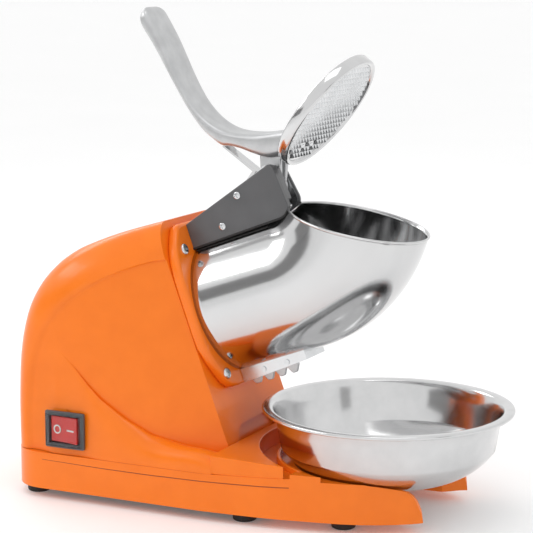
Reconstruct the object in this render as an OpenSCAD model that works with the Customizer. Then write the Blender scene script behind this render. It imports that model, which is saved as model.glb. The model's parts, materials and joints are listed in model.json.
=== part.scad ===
// Electric shaved ice machine: motor housing on a two-legged base, tilted steel
// hopper with a cutter disc, hinged pusher lever and a loose serving bowl.
// X runs from the rear of the housing to the bowl, Y across, Z up; the feet stand on z = 0.

/* [Base and housing] */
// Distance from the origin to the rear wall of the housing
rear_x = 198; // [190:1:206]
// Overall width of the base
base_w = 192; // [186:1:196]
// Height of the rubber feet below the base
foot_h = 8; // [6:0.5:10]
// Height of the seam between base and housing
seam_z = 40; // [38:1:42]
// Wall thickness of the plastic mouldings
wall = 3; // [2.5:0.25:3.5]
/* [Hopper] */
// Outer radius of the hopper tube
hopper_r = 55.5; // [54.5:0.25:56]
// Sheet thickness of the hopper
hopper_t = 1; // [0.8:0.1:1.2]
// Upward tilt of the cutter axis, in degrees
tilt = 20.5; // [20:0.25:21]
// Distance along X from the origin back to the flange centre
flange_x = 32; // [31:0.5:33]
// Height of the flange centre
flange_z = 158; // [157:0.5:159]
/* [Lever] */
// X of the lever hinge
hinge_x = -2; // [-3:0.25:-1]
// Height of the lever hinge
hinge_z = 252; // [251:0.25:253]
// Angle the lever turns from open to closed, in degrees
lever_swing = 123.5; // [122:0.5:125]
// Radius of the pusher plate
pusher_r = 52; // [50:0.5:52]
// Thickness of the pusher plate
pusher_t = 10; // [8:0.5:11]
// Half width of the lever handle
lever_half = 17; // [14:0.5:19]
/* [Bowl] */
// Outer diameter of the bowl rim
bowl_d = 200; // [196:1:202]
// Height of the bowl rim
bowl_z = 84; // [80:1:86]
// X of the bowl centre
bowl_x = 98; // [96:1:99]
// Sheet thickness of the bowl
bowl_t = 0.8; // [0.6:0.1:1.2]
/* [Switch] */
// X of the rocker switch centre
switch_x = -142; // [-146:1:-138]
// Height of the rocker switch centre
switch_z = 59; // [58:0.5:61]
// Tilt of the rocker from one end of its travel to the other, in degrees
rocker_swing = 16; // [12:1:18]

/* [Hidden] */
$fn = 72;

base_half = base_w / 2;
base_z = foot_h;
run = 0.05;

// Plan of the base: straight sides, then two arcs that draw the legs in
side_x = -15;
side_r = 330;
side_turn = 13;
tip_r = 260;
tip_turn = 34;
rear_r = 30;
tip_x = 147.5;
leg_gap = 34;
leg_gap_x = 62;

// Rear and top arcs of the housing in side view
rear_arc_r = 96;
rear_arc_x = rear_arc_r - rear_x;
rear_arc_z = 118;
top_arc_r = 300;
arc_turn = 114;
top_arc_x = rear_arc_x + (rear_arc_r - top_arc_r) * cos(arc_turn);
top_arc_z = rear_arc_z + (rear_arc_r - top_arc_r) * sin(arc_turn);
face_s = -19;
chute_s = 49;
ring_t = 7;
pad_l = 138;
pad_w = 118;
pad_p = 5;

// Hinge measured along and across the cutter axis
hinge_s = (hinge_x + flange_x) * cos(tilt) + (hinge_z - flange_z) * sin(tilt);
hinge_p = (hinge_z - flange_z) * cos(tilt) - (hinge_x + flange_x) * sin(tilt);
hopper_in = hopper_r - hopper_t;
ring_bore = hopper_r + 0.3;
bolt_y = 42;
bolt_p = 52;
mouth_slope = 11.5;
mouth_x = 130;
mouth_z = 216.5;

// Cutter, measured along its axis from the flange
disc_s = 46;
disc_t = 3;
disc_r = hopper_in - 1;
seat_s = 56;
shaft_r = 6;
motor_r = 46;

// Pusher plate in the open pose: the closed seat turned back about the hinge
seat_dx = (seat_s - hinge_s) * cos(tilt) + hinge_p * sin(tilt);
seat_dz = (seat_s - hinge_s) * sin(tilt) - hinge_p * cos(tilt);
plate_x = hinge_x + seat_dx * cos(lever_swing) - seat_dz * sin(lever_swing);
plate_z = hinge_z + seat_dx * sin(lever_swing) + seat_dz * cos(lever_swing);
plate_lean = lever_swing - 90 + tilt;

orange = "#f2701a";
dark_orange = "#d95f12";
steel = "#c9ccd0";
cast = "#b4b6b9";
dark = "#4a4a4c";
black = "#1c1c1e";
copper = "#b8692f";

function arc(x, y, r, a, b, n) = [for (i = [0:n]) let (t = a + (b - a) * i / n)
    [x + r * cos(t), y + r * sin(t)]];

function flip(points) = [for (i = [len(points) - 1:-1:0]) [points[i][0], -points[i][1]]];

// One side of the base plan, moved in by d
function base_side(d) = concat(
    arc(rear_r - rear_x, rear_r - base_half, rear_r - d, 180, 270, 8),
    arc(side_x, side_r - base_half, side_r - d, 270, 270 + side_turn, 6),
    [for (q = arc(side_x + (side_r - tip_r) * sin(side_turn),
        side_r - base_half - (side_r - tip_r) * cos(side_turn),
        tip_r - d, 270 + side_turn, 270 + tip_turn, 8)) if (q[0] < tip_x - d) q]);

function base_plan(d) = let (side = base_side(d), last = side[len(side) - 1])
    concat(side, [[tip_x - d, last[1] + 2], [tip_x - d, -last[1] - 2]], flip(side));

// Side view of the housing, top and rear moved in by d, front face at s
function face_x(s, z) = -flange_x + s / cos(tilt) - (z - flange_z) * tan(tilt);
function top_end(r, s) = let (z = top_arc_z + r - 4) acos((face_x(s, z) - top_arc_x) / r);
function housing_side(d, s, z0) =
    let (r = top_arc_r - d,
        top = arc(top_arc_x, top_arc_z, r, top_end(r, s), arc_turn, 6),
        rear = arc(rear_arc_x, rear_arc_z, rear_arc_r - d, arc_turn, 180, 10))
    concat([[face_x(s, z0), z0], [face_x(s, top[0][1]), top[0][1]]], top, rear, [[d - rear_x, z0]]);

module upright(half) rotate([90, 0, 0]) linear_extrude(2 * half, center = true) children();

module drum_frame() translate([-flange_x, 0, flange_z]) rotate([0, 90 - tilt, 0]) rotate([0, 0, 180])
    children();

module at_bolts() for (y = [-bolt_y, bolt_y], p = [-bolt_p, bolt_p]) translate([p, y, 0]) children();

module hinge_frame() translate([hinge_x, 0, hinge_z]) rotate([90, 0, 0]) children();

module plate_frame() translate([plate_x, 0, plate_z]) rotate([0, -plate_lean, 0]) children();

module tube(r1, r2, h) difference() {
    cylinder(r = r2, h = h);
    translate([0, 0, -1]) cylinder(r = r1, h = h + 2);
}

module rounded_plate(w, l, r, h) {
    translate([-w / 2, r - l / 2, 0]) cube([w, l - 2 * r, h]);
    translate([r - w / 2, -l / 2, 0]) cube([w - 2 * r, l, h]);
    for (x = [-1, 1], y = [-1, 1]) translate([x * (w / 2 - r), y * (l / 2 - r), 0]) cylinder(r = r, h = h);
}

module pan_screw(r, head_r, head_h, length) {
    difference() {
        cylinder(r = head_r, h = head_h);
        for (a = [0, 90]) rotate([0, 0, a]) translate([-head_r * 0.6, -0.5, head_h - 1])
            cube([head_r * 1.2, 1, 2]);
    }
    translate([0, 0, -length]) cylinder(r = r, h = length + 0.01);
}

module leg_slot(half) {
    translate([leg_gap_x + leg_gap, 0, -1]) cylinder(r = half, h = 80);
    translate([leg_gap_x + leg_gap, -half, -1]) cube([200, 2 * half, 80]);
}

// Space that the bowl sinks into: a flat seat, a shallow cone and a round well wall
module bowl_well(d) translate([bowl_x, 0, 0]) rotate_extrude($fn = 120)
    polygon([[0, 26.1 - d], [50, 26.1 - d], [99, 43 - d], [101.5 - d, 43 - d], [101.5 - d, 120], [0, 120]]);

module base_body(d) intersection() {
    translate([0, 0, base_z - 1]) linear_extrude(60) polygon(base_plan(d));
    upright(120) polygon(concat([[-rear_x, base_z], [-rear_x, seam_z - d], [53, seam_z - d], [53, 46 - d]],
        [[80, 44.5 - d], [112, 40 - d], [132, 35.5 - d]],
        arc(tip_x - 20, 13, 20 - d, 70, 0, 6), [[tip_x - d, base_z]]));
}

module base_bosses(r, z0, z1) for (x = [-165, -26], y = [-80, 80]) translate([x, y, z0])
    cylinder(r = r, h = z1 - z0);

module boss_ribs(z0, z1) for (x = [-165, -26], y = [-1, 1]) translate([x - 1.5, y * 88 - 6.2, z0])
    cube([3, 12.4, z1 - z0]);

module base_tray() color(orange) difference() {
    union() {
        difference() {
            base_body(0);
            difference() {
                translate([0, 0, -wall]) base_body(wall);
                bowl_well(wall);
                leg_slot(leg_gap + wall);
            }
            translate([0, 0, base_z - 1]) linear_extrude(wall) polygon(base_plan(wall));
            translate([12 - rear_x, 10 - base_half, seam_z - 6]) cube([rear_x - 30, base_w - 20, 20]);
        }
        base_bosses(5, base_z + 3, seam_z);
        boss_ribs(base_z + 3, seam_z);
    }
    bowl_well(0);
    leg_slot(leg_gap);
    base_bosses(2.2, 0, 60);
}

module bottom_cover() color(dark) difference() {
    translate([0, 0, base_z + 0.5]) linear_extrude(2) polygon(base_plan(wall + 0.4));
    leg_slot(leg_gap + wall + 0.4);
    translate([132, -80, 0]) cube([40, 160, 20]);
    base_bosses(2.2, 0, 60);
    at_cover_screws() cylinder(r = 1.7, h = 10, center = true);
}

module at_cover_screws() for (x = [-120, -60, 40], y = [-60, 60]) translate([x, y, base_z + 0.5]) children();

module cover_screws() color(steel) at_cover_screws() rotate([180, 0, 0]) pan_screw(1.5, 3, 0.45, 5.5);

module rubber_feet() color(black) for (q = [[-180, 76], [9, 76], [87, 62]], y = [-1, 1])
    translate([q[0], y * q[1], 0]) difference() {
        union() {
            cylinder(r1 = 9, r2 = 9.5, h = 1);
            translate([0, 0, 1]) cylinder(r = 9.5, h = foot_h - 0.5);
        }
        translate([0, 0, 3]) cylinder(r = 4, h = foot_h, $fn = 32);
    }

module housing_skin(d, s, z0) hull() {
    for (q = [[0, 20, 0], [3, 42, 0], [9, 56, 0], [18, 72, 22], [30, 88, 70]])
        upright(q[1] - d) polygon(housing_side(q[0] + d, s - q[2], z0));
    translate([rear_r - rear_x, d - base_half, z0]) cube([rear_x - rear_r - 26, base_w - 2 * d, 1]);
    for (y = [-1, 1]) translate([rear_r - rear_x, y * (base_half - rear_r), z0])
        cylinder(r = rear_r - d, h = 30, $fn = 32);
}

module apron(d) intersection() {
    translate([0, 0, seam_z]) linear_extrude(13 - d) polygon(base_plan(d));
    translate([-40, -120, seam_z]) cube([93 - d, 240, 40]);
}

module well_wall() intersection() {
    translate([bowl_x, 0, seam_z]) tube(101.5, 104.5, 24);
    union() {
        housing_skin(0, face_s, seam_z);
        apron(0);
    }
}

module housing_shell() color(orange) difference() {
    union() {
        difference() {
            union() {
                housing_skin(0, face_s, seam_z);
                apron(0);
            }
            housing_skin(wall, face_s - wall, seam_z - 1);
            difference() {
                translate([0, 0, -1]) apron(wall);
                translate([bowl_x, 0, 0]) cylinder(r = 104.5, h = 80);
            }
            translate([bowl_x, 0, 0]) cylinder(r = 101.5, h = 90, $fn = 120);
        }
        well_wall();
        base_bosses(5, seam_z, seam_z + 11);
        boss_ribs(seam_z, seam_z + 11);
    }
    drum_frame() translate([0, 0, face_s - wall - 1]) cylinder(r = 17, h = wall + 3);
    drum_frame() translate([0, 0, face_s - wall - 1]) at_bolts() cylinder(r = 2.6, h = wall + 3);
    base_bosses(1.9, seam_z - 1, seam_z + 9.5);
    translate([switch_x - 18.5, -base_half - 1, switch_z - 15.5]) cube([37, 2.8, 31]);
    translate([switch_x - 15.6, -base_half - 1, switch_z - 12.8]) cube([31.2, 10, 25.6]);
    translate([-rear_x - 1, 40, 62]) rotate([0, 90, 0]) cylinder(r = 8, h = 20);
    for (y = [-48:12:0]) translate([-rear_x - 1, y, 74]) cube([12, 5, 26]);
}

module housing_screws() color(steel) for (x = [-165, -26], y = [-80, 80]) translate([x, y, base_z + 0.5])
    rotate([180, 0, 0]) pan_screw(1.85, 3.6, 0.45, 40);

module front_ring() color(dark_orange) drum_frame() translate([0, 0, face_s + hopper_t]) difference() {
    translate([pad_p, 0, 0]) rounded_plate(pad_l, pad_w, 16, ring_t);
    translate([0, 0, -1]) cylinder(r = ring_bore, h = ring_t + 2, $fn = 120);
    translate([0, 0, -1]) at_bolts() cylinder(r = 2.3, h = ring_t + 2);
}

module flange_screws() color(steel) drum_frame() translate([0, 0, face_s + hopper_t + ring_t])
    at_bolts() pan_screw(2.2, 4.6, 2.4, 11.3);

module elbow() difference() {
    hinge_frame() rotate([0, 0, tilt - 90]) rotate_extrude(angle = 96, $fn = 120) translate([hinge_p, 0])
        difference() {
            circle(r = hopper_r, $fn = 96);
            circle(r = hopper_in, $fn = 96);
        }
    mouth_cut(0);
}

module mouth_cut(lift) translate([mouth_x, 0, mouth_z + lift]) rotate([0, mouth_slope, 0])
    translate([-220, -120, 0]) cube([300, 240, 200]);

module hopper() color(steel) difference() {
    union() {
        drum_frame() translate([0, 0, face_s]) tube(hopper_in, hopper_r, hinge_s - face_s - 0.05);
        elbow();
        drum_frame() translate([pad_p, 0, face_s]) difference() {
            rounded_plate(pad_l - 6, pad_w - 6, 13, hopper_t);
            translate([-pad_p, 0, -1]) cylinder(r = hopper_r - 0.5, h = 4);
        }
    }
    drum_frame() translate([0, 0, face_s - 1]) at_bolts() cylinder(r = 2.4, h = 4);
    drum_frame() translate([40, -8.8, 50]) cube([40, 17.6, 60]);
    drum_frame() translate([-60, -14.5, 10]) cube([20, 29, 33]);
}

// Guide walls under the discharge slot, lower edges running up towards the front
module chute() color(steel) drum_frame() difference() {
    translate([0, 17.5, 0]) rotate([90, 0, 0]) linear_extrude(35)
        polygon([[-64, face_s + 8.05], [-40, face_s + 8.05], [-40, chute_s], [-60.5, chute_s]]);
    translate([0, 0, -20]) cylinder(r = hopper_r + 0.02, h = 90, $fn = 120);
    translate([-80, -16, -20]) cube([60, 32, chute_s + 18.5]);
    for (s = [9.5, 31.5]) translate([-58, 0, s]) rotate([-90, 0, 0]) cylinder(r = 1.25, h = 30);
}

module chute_comb() color(cast) drum_frame() difference() {
    translate([-68, 12.7, -6]) cube([18, 3.2, 46.5]);
    translate([0, 0, -20]) cylinder(r = hopper_r + 0.02, h = 90, $fn = 120);
    for (i = [0:4]) translate([0, 12, 11.5 * i - 5.75]) rotate([-90, 0, 0]) linear_extrude(8)
        polygon([[-70, -4.6], [-70, 4.6], [-63.6, 1.4], [-62.8, 0], [-63.6, -1.4]]);
    for (s = [9.5, 31.5]) translate([-58, 0, s]) rotate([-90, 0, 0]) cylinder(r = 1.25, h = 30);
}

module chute_screws() color(steel) drum_frame() for (s = [9.5, 31.5])
    translate([-58, 12.8, s]) rotate([-90, 0, 0]) {
        cylinder(r = 1.2, h = 4.8);
        translate([0, 0, 4.75]) cylinder(r = 2.2, h = 0.8);
    }

// Outline of the hinge bracket beside the lever, moved in by d
function bracket_side(d) = concat(
    [[-66.8 + d, 219.8], [-60.8 + d, 203.9], [7 - d * 0.6, 231.4 + d * 0.4]],
    arc(5.5, 241, 10 - d, -20, 25, 3), arc(-4, 265.5, 6 - d, 25, 128, 5));

// Outline of the wider switch box on the near side
function box_side(d) = concat(
    [[-67.1 + d, 220.9 - d * 0.4], [-59.9 + d, 201.4 + d]],
    arc(13.2, 238, 9 - d, -70, 15, 5), arc(3.2, 266, 7.5 - d, 25, 128, 5));

module bracket_plate(y0, y1, d) translate([0, y1, 0]) rotate([90, 0, 0]) linear_extrude(y1 - y0)
    polygon(bracket_side(d));

module box_plate(y0, y1, d) translate([0, y1, 0]) rotate([90, 0, 0]) linear_extrude(y1 - y0)
    polygon(box_side(d));

module at_switch_screws() for (q = [[-21.7, 247.3], [-34.7, 221.7]]) translate([q[0], 0, q[1]])
    rotate([90, 0, 0]) children();

module hinge_bracket() color(steel) difference() {
    union() {
        bracket_plate(-11, -9.2, 1);
        bracket_plate(9.2, 11, 1);
        drum_frame() translate([hopper_r + 0.6, -9.3, -10.5]) cube([1.6, 18.6, 55]);
    }
    drum_frame() translate([0, 0, -40]) cylinder(r = hopper_r + 0.5, h = 120, $fn = 120);
    hinge_frame() cylinder(r = 4, h = 40, center = true);
    at_switch_screws() cylinder(r = 1.7, h = 60, center = true);
    drum_frame() for (s = [-4, 36]) translate([50, 0, s]) rotate([0, 90, 0]) cylinder(r = 1.7, h = 20);
}

module bracket_cover_near() color(dark) difference() {
    box_plate(-27, -11.1, 0);
    box_plate(-25, -10, 2);
    for (q = [[10, 23.4, 7.6], [17.6, 24.6, 3.4], [21, 25.8, 4], [25, 27.6, 3]])
        hinge_frame() translate([0, 0, q[0]]) difference() {
            cylinder(r = 60, h = q[2]);
            translate([0, 0, -1]) cylinder(r = q[1], h = 10);
            translate([-100, -60, -1]) cube([100, 80, 10]);
        }
    drum_frame() translate([0, 0, -40]) cylinder(r = hopper_r + 0.6, h = 120, $fn = 120);
    at_switch_screws() cylinder(r = 1.7, h = 60, center = true);
}

module bracket_cover_far() color(dark) difference() {
    bracket_plate(11.05, 13.2, 0);
    drum_frame() translate([0, 0, -40]) cylinder(r = hopper_r + 0.6, h = 120, $fn = 120);
    at_switch_screws() cylinder(r = 1.7, h = 60, center = true);
}

module bracket_top() color(dark) translate([0, 9.1, 0]) rotate([90, 0, 0]) linear_extrude(18.2)
    polygon([[-65.7, 217.65], [-65, 216.2], [-36, 241.6], [-36, 244.2]]);

module bracket_gasket() color(black) drum_frame() difference() {
    union() for (y = [-12.6, 24.4]) translate([40, y, -10]) cube([16.1, 2.4, 68]);
    translate([0, 0, -40]) cylinder(r = hopper_r + 0.05, h = 120, $fn = 120);
    difference() {
        translate([30, -30, -20]) cube([40, 60, 100]);
        translate([0, 0, -30]) cylinder(r = hopper_r + 0.45, h = 120, $fn = 120);
    }
}

module bracket_rivets() color(steel) drum_frame() for (s = [-4, 36]) translate([hopper_r + 0.1, 0, s])
    rotate([0, 90, 0]) {
        cylinder(r = 1.6, h = 3.2);
        translate([0, 0, 2.15]) cylinder(r = 3, h = 1.2);
    }

module hinge_pin() color(steel) hinge_frame() cylinder(r = 4 - 0.01, h = 21.8, center = true);

module torsion_spring() color(steel) hinge_frame() {
    for (i = [-1:1]) translate([0, 0, 1.7 * i]) rotate_extrude() translate([5.6, 0])
        circle(r = 0.75, $fn = 24);
    rotate([0, 0, 70]) translate([5.6, 0, 1.7]) rotate([-90, 0, 0]) cylinder(r = 0.75, h = 13, $fn = 24);
    translate([5.6, 0, -1.7]) rotate([-90, 0, 0]) cylinder(r = 0.75, h = 21, $fn = 24);
}

module stop_strip() color(steel) translate([0, 6, 0]) rotate([90, 0, 0]) linear_extrude(12)
    polygon([[-30, 248.6], [-28.4, 247.6], [-15.4, 264.6], [-44.6, 284.2], [-45.4, 283], [-18.6, 264.6]]);

module switch_frame() translate([-28.4, 0, 235.5]) rotate([0, -38, 0]) children();

module safety_switch() color("#2a2a2c") difference() {
    switch_frame() translate([-16, -5.2, -8]) cube([32, 10.4, 16]);
    at_switch_screws() cylinder(r = 1.6, h = 60, center = true);
    switch_frame() translate([11, 0, 0]) rotate([0, 90, 0]) cylinder(r = 2, h = 8);
}

module switch_screws() color(steel) translate([0, -27.05, 0]) at_switch_screws()
    pan_screw(1.5, 3.1, 1.3, 39);

module switch_plunger() color("#b02a20") switch_frame() translate([12.5, 0, 0])
    rotate([0, 90, 0]) cylinder(r = 2 - run, h = 6.2);

// Point on the back of the pusher, t up from its centre
function plate_back(t) = [plate_x - (pusher_t + 0.02) * sin(plate_lean) + t * cos(plate_lean),
    plate_z + (pusher_t + 0.02) * cos(plate_lean) + t * sin(plate_lean)];

// Side view of the cast lever: upper edge from the tip down, then the lower edge back
function lever_side() = concat(
    arc(-109.5, 387.5, 8, 205, 45, 7),
    [[-95, 370], [-88.5, 358], [-83, 344.5], [-78, 334], [-72, 324.5]],
    arc(-27, 342.5, 46.5, 206, 268, 9),
    [[-14, 296.8], [0, 299.6], [16, 302], plate_back(-17), plate_back(-48)],
    [[4, 276.2], [-5, 275.6], [-17.4, 278.6], [-29, 285]],
    [[-43, 284.4], [-51, 290], [-60, 297.5], [-69, 308.5]],
    [[-78, 322], [-87, 336.5], [-96, 351.5], [-105, 365.5]]);

module lever_arm() color(cast) difference() {
    union() {
        difference() {
            upright(lever_half) polygon(lever_side());
            hinge_frame() for (z = [8.2, -38.2]) translate([0, 0, z]) cylinder(r = 27, h = 30);
        }
        difference() {
            union() {
                hinge_frame() cylinder(r = 9, h = 16, center = true);
                upright(7.6)
                    polygon([[hinge_x - 7, hinge_z], [hinge_x + 7, hinge_z], [hinge_x + 8, 283],
                        [hinge_x - 8, 283]]);
            }
            translate([-20, -3.2, hinge_z - 12]) cube([32, 6.4, 34]);
        }
        hinge_frame() rotate([0, 0, -33.5]) translate([7.4, -3, -7.2]) cube([4.2, 6, 14.4]);
    }
    hinge_frame() cylinder(r = 6, h = 40, center = true);
    plate_frame() at_pusher_screws() translate([0, 0, pusher_t]) cylinder(r = 1.8, h = 9);
}

module at_pusher_screws() for (y = [-8, 8]) translate([-34, y, 0]) children();

module hinge_bushes() color("#c9a35c") hinge_frame() for (z = [3.3, -8]) translate([0, 0, z])
    tube(4 + run, 5.99, 4.7);

module pusher_plate() color(steel) plate_frame() difference() {
    cylinder(r = pusher_r, h = pusher_t, $fn = 120);
    translate([0, 0, -1]) intersection() {
        cylinder(r = pusher_r - 3, h = 2.5);
        for (i = [-12:12]) translate([i * 4 - 1.3, -60, 0]) cube([1.8, 120, 3]);
    }
    at_pusher_screws() translate([0, 0, -1]) cylinder(r = 1.9, h = 20);
    at_pusher_screws() translate([0, 0, -1]) cylinder(r = 3.75, h = 5.05);
}

module pusher_screws() color(steel) plate_frame() at_pusher_screws() translate([0, 0, 2.2]) {
    cylinder(r = 3.5, h = 1.8);
    cylinder(r = 1.75, h = 15);
}

module motor_mount_plate() color(steel) drum_frame() translate([0, 0, face_s - wall - 2.6]) difference() {
    intersection() {
        cylinder(r = 74, h = 2.5);
        translate([-90, -52.4, -1]) cube([157, 104.8, 5]);
    }
    translate([0, 0, -1]) cylinder(r = 17, h = 5);
    translate([0, 0, -1]) at_bolts() cylinder(r = 2.25, h = 5);
    translate([0, 0, -1]) at_mount_screws() cylinder(r = 2.05, h = 5);
    translate([0, 0, 0.95]) at_mount_screws() cylinder(r1 = 2.05, r2 = 3.6, h = 1.6);
}

module at_mount_screws() for (a = [45:90:315]) rotate([0, 0, a]) translate([38, 0, 0]) children();

bell_s = face_s - wall - 2.7;

module front_bell() color(cast) drum_frame() translate([0, 0, bell_s - 20]) difference() {
    cylinder(r = motor_r, h = 20);
    translate([0, 0, -1]) cylinder(r = motor_r - 3, h = 14);
    translate([0, 0, -1]) cylinder(r = 9, h = 30);
    translate([0, 0, 4]) cylinder(r = 16.05, h = 10.1);
    translate([0, 0, 8]) at_mount_screws() cylinder(r = 1.95, h = 20);
    for (a = [0:45:315]) rotate([0, 0, a]) translate([30, -4, 2]) cube([30, 8, 7]);
}

module rear_bell() color(cast) drum_frame() translate([0, 0, bell_s - 100]) difference() {
    cylinder(r = motor_r, h = 20);
    translate([0, 0, 7]) cylinder(r = motor_r - 3, h = 14);
    translate([0, 0, -1]) cylinder(r = 9, h = 30);
    translate([0, 0, 5]) cylinder(r = 16.05, h = 20);
    for (a = [0:45:315]) rotate([0, 0, a]) translate([30, -4, 11]) cube([30, 8, 7]);
}

module stator_core() color("#8d9096") drum_frame() translate([0, 0, bell_s - 79.9]) difference() {
    cylinder(r = motor_r - 1, h = 59.8);
    translate([0, 0, -1]) cylinder(r = 28, h = 62);
    for (a = [15:30:345]) rotate([0, 0, a]) translate([29, -2.4, -1]) cube([8, 4.8, 62]);
    for (a = [0:90:270]) rotate([0, 0, a]) translate([motor_r - 4, 0, -1]) cylinder(r = 2.3, h = 62);
}

module stator_windings() color(copper) drum_frame() for (s = [bell_s - 85.2, bell_s - 14.6])
    translate([0, 0, s]) rotate_extrude() translate([35, 0]) circle(r = 5, $fn = 32);

module tie_bolts() color(steel) drum_frame() for (a = [0:90:270])
    rotate([0, 0, a]) translate([motor_r - 4, 0, bell_s - 79.9]) cylinder(r = 2, h = 59.8);

module mount_screws() color(steel) drum_frame() translate([0, 0, bell_s + 2.55]) at_mount_screws() {
    translate([0, 0, -10]) cylinder(r = 1.9, h = 10);
    translate([0, 0, -1.5]) cylinder(r1 = 1.95, r2 = 3.4, h = 1.5);
}

module bearing(r1, r2, h) {
    tube(r1, r1 + 2.5, h);
    tube(r2 - 2.5, r2, h);
    translate([0, 0, 0.5]) tube(r1 + 2.7, r2 - 2.4, 0.8);
    translate([0, 0, h - 1.3]) tube(r1 + 2.7, r2 - 2.4, 0.8);
}

module front_bearing() color("#9a9da3") drum_frame() translate([0, 0, bell_s - 15.9])
    bearing(shaft_r + run, 16, 9.9);

module rear_bearing() color("#9a9da3") drum_frame() translate([0, 0, bell_s - 94.9])
    bearing(shaft_r + run, 16, 9.9);

module shaft_seal() color(black) drum_frame() translate([0, 0, face_s - wall - 2.5]) {
    tube(shaft_r + run, 16.9, 2);
    tube(12, 16.9, 9);
    translate([0, 0, 7]) tube(shaft_r + run, 16.9, 2);
}

module motor_shaft() color(steel) drum_frame() translate([0, 0, bell_s - 116]) difference() {
    cylinder(r = shaft_r, h = 116 - bell_s + disc_s + 5);
    translate([-10, 4.8, 115 - bell_s + disc_s]) cube([20, 10, 20]);
}

module rotor() color("#7b7e84") drum_frame() translate([0, 0, bell_s - 78]) difference() {
    cylinder(r = 27.4, h = 56);
    translate([0, 0, -1]) cylinder(r = shaft_r - 0.001, h = 60);
    for (a = [0:20:340]) rotate([0, 0, a]) translate([26, -0.8, 4]) cube([4, 1.6, 48]);
}

module cooling_fan() color(dark) drum_frame() translate([0, 0, bell_s - 114]) difference() {
    union() {
        cylinder(r = 11, h = 12);
        cylinder(r = 38, h = 1.6);
        for (a = [0:40:320]) rotate([0, 0, a]) translate([9, -0.8, 0]) cube([28, 1.6, 11]);
    }
    translate([0, 0, -1]) cylinder(r = shaft_r - 0.001, h = 20);
}

// Cutter disc with two slots; each blade lies across a slot on the ice side
module at_blades() for (a = [0, 180]) rotate([0, 0, a]) children();

module cutter_disc() color(steel) drum_frame() translate([0, 0, disc_s]) difference() {
    union() {
        cylinder(r = disc_r, h = disc_t, $fn = 120);
        translate([0, 0, -9]) cylinder(r = 14, h = 9.01);
    }
    translate([0, 0, -12]) cylinder(r = shaft_r - 0.001, h = 20);
    at_blades() translate([17, 1, -1]) cube([30, 7, 6]);
    at_blades() for (x = [24, 40]) translate([x, -5, -1]) cylinder(r = 1.7, h = 6);
}

module cutter_blades() color("#d7dade") drum_frame() translate([0, 0, disc_s + disc_t]) at_blades()
    difference() {
    translate([0, 0, 0.01]) union() {
        translate([16, -9, 0]) cube([32, 10, 1.5]);
        translate([48, 1, 0]) rotate([0, -90, 0]) linear_extrude(32)
            polygon([[0, 0], [1.5, 0], [1.5, 3.4]]);
    }
    for (x = [24, 40]) translate([x, -5, -1]) cylinder(r = 1.7, h = 6);
}

module blade_screws() color(steel) drum_frame() translate([0, 0, disc_s + disc_t + 1.52]) at_blades()
    for (x = [24, 40]) translate([x, -5, 0]) pan_screw(1.6, 3, 1.2, 5);

module disc_nut() color(steel) drum_frame() translate([0, 0, disc_s + disc_t + 0.01]) difference() {
    cylinder(r = 9, h = 3.6, $fn = 6);
    translate([0, 0, -1]) cylinder(r = shaft_r + 0.01, h = 8);
}

module run_capacitor() color("#d8d8d4") translate([-120, -52, base_z + 17.5]) rotate([0, 90, 0]) {
    cylinder(r = 13, h = 46);
    for (y = [-4, 4]) translate([0, y, 46]) cylinder(r = 1.2, h = 6);
}

module capacitor_clip() color(steel) translate([-104, -52, base_z + 17.5]) difference() {
    rotate([0, 90, 0]) tube(13.02, 14.2, 12);
    translate([-1, -8, 10]) cube([20, 16, 10]);
    translate([-1, -20, -20]) cube([20, 40, 5]);
}

module terminal_block() color("#e4e0d4") translate([-110, 34, base_z + 2.5]) difference() {
    cube([44, 18, 14]);
    for (x = [5:8.5:40]) translate([x, 9, 6]) cylinder(r = 2.6, h = 10);
}

module switch_body() color(black) difference() {
    translate([switch_x - 15.4, -base_half + 1.9, switch_z - 12.6]) cube([30.8, 22, 25.2]);
    translate([switch_x - 14.3, -base_half + 1.8, switch_z - 11.2]) cube([28.6, 9, 22.4]);
}

module switch_bezel() color(black) difference() {
    translate([switch_x - 18, -base_half - 1.1, switch_z - 15]) cube([36, 2.9, 30]);
    translate([switch_x - 14.3, -base_half - 2, switch_z - 11.2]) cube([28.6, 5, 22.4]);
}

module switch_cover() color("#e8ecef", 0.35) translate([switch_x, 0, switch_z]) difference() {
    translate([-16, -base_half - 3.8, -13]) cube([32, 2.7, 26]);
    translate([-15, -base_half - 3.1, -12]) cube([30, 3, 24]);
}

// Rocker with a bent face, tipped towards its off side; it turns about a vertical pin
module rocker() color("#d5261c") translate([switch_x, -base_half + 4, switch_z])
    rotate([0, 0, -rocker_swing / 2]) translate([0, 0, -10.6]) difference() {
        linear_extrude(21.2) polygon([[-13.2, -4.8], [0, -3.6], [13.2, -4.8], [12, 2.4], [-12, 2.4]]);
        translate([0, 0, -1]) cylinder(r = 1.5, h = 24, $fn = 32);
    }

module cord_gland() color(black) translate([-rear_x - 0.05, 40, 62]) rotate([0, -90, 0]) difference() {
    union() {
        translate([0, 0, -16]) cylinder(r = 7.9, h = 16);
        cylinder(r = 10.5, h = 0.04);
    }
    translate([0, 0, -20]) cylinder(r = 3.6, h = 30);
}

module gland_nut() color(black) translate([-rear_x + wall + 0.1, 40, 62]) rotate([0, 90, 0]) difference() {
    cylinder(r = 12, h = 5, $fn = 6);
    translate([0, 0, -1]) cylinder(r = 7.92, h = 8);
}

// Outer section of the bowl: flat foot, round wall and a wide rolled rim
function bowl_section(t) = concat([[0, 26.5 + t], [36 - t, 26.5 + t]],
    arc(36, 86.5, 60 - t, -90, -35, 12), [[88.5 - t, bowl_z - 12],
    [92 - t, bowl_z - 2 + (t > 0 ? 2 : 0)]]);

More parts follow.
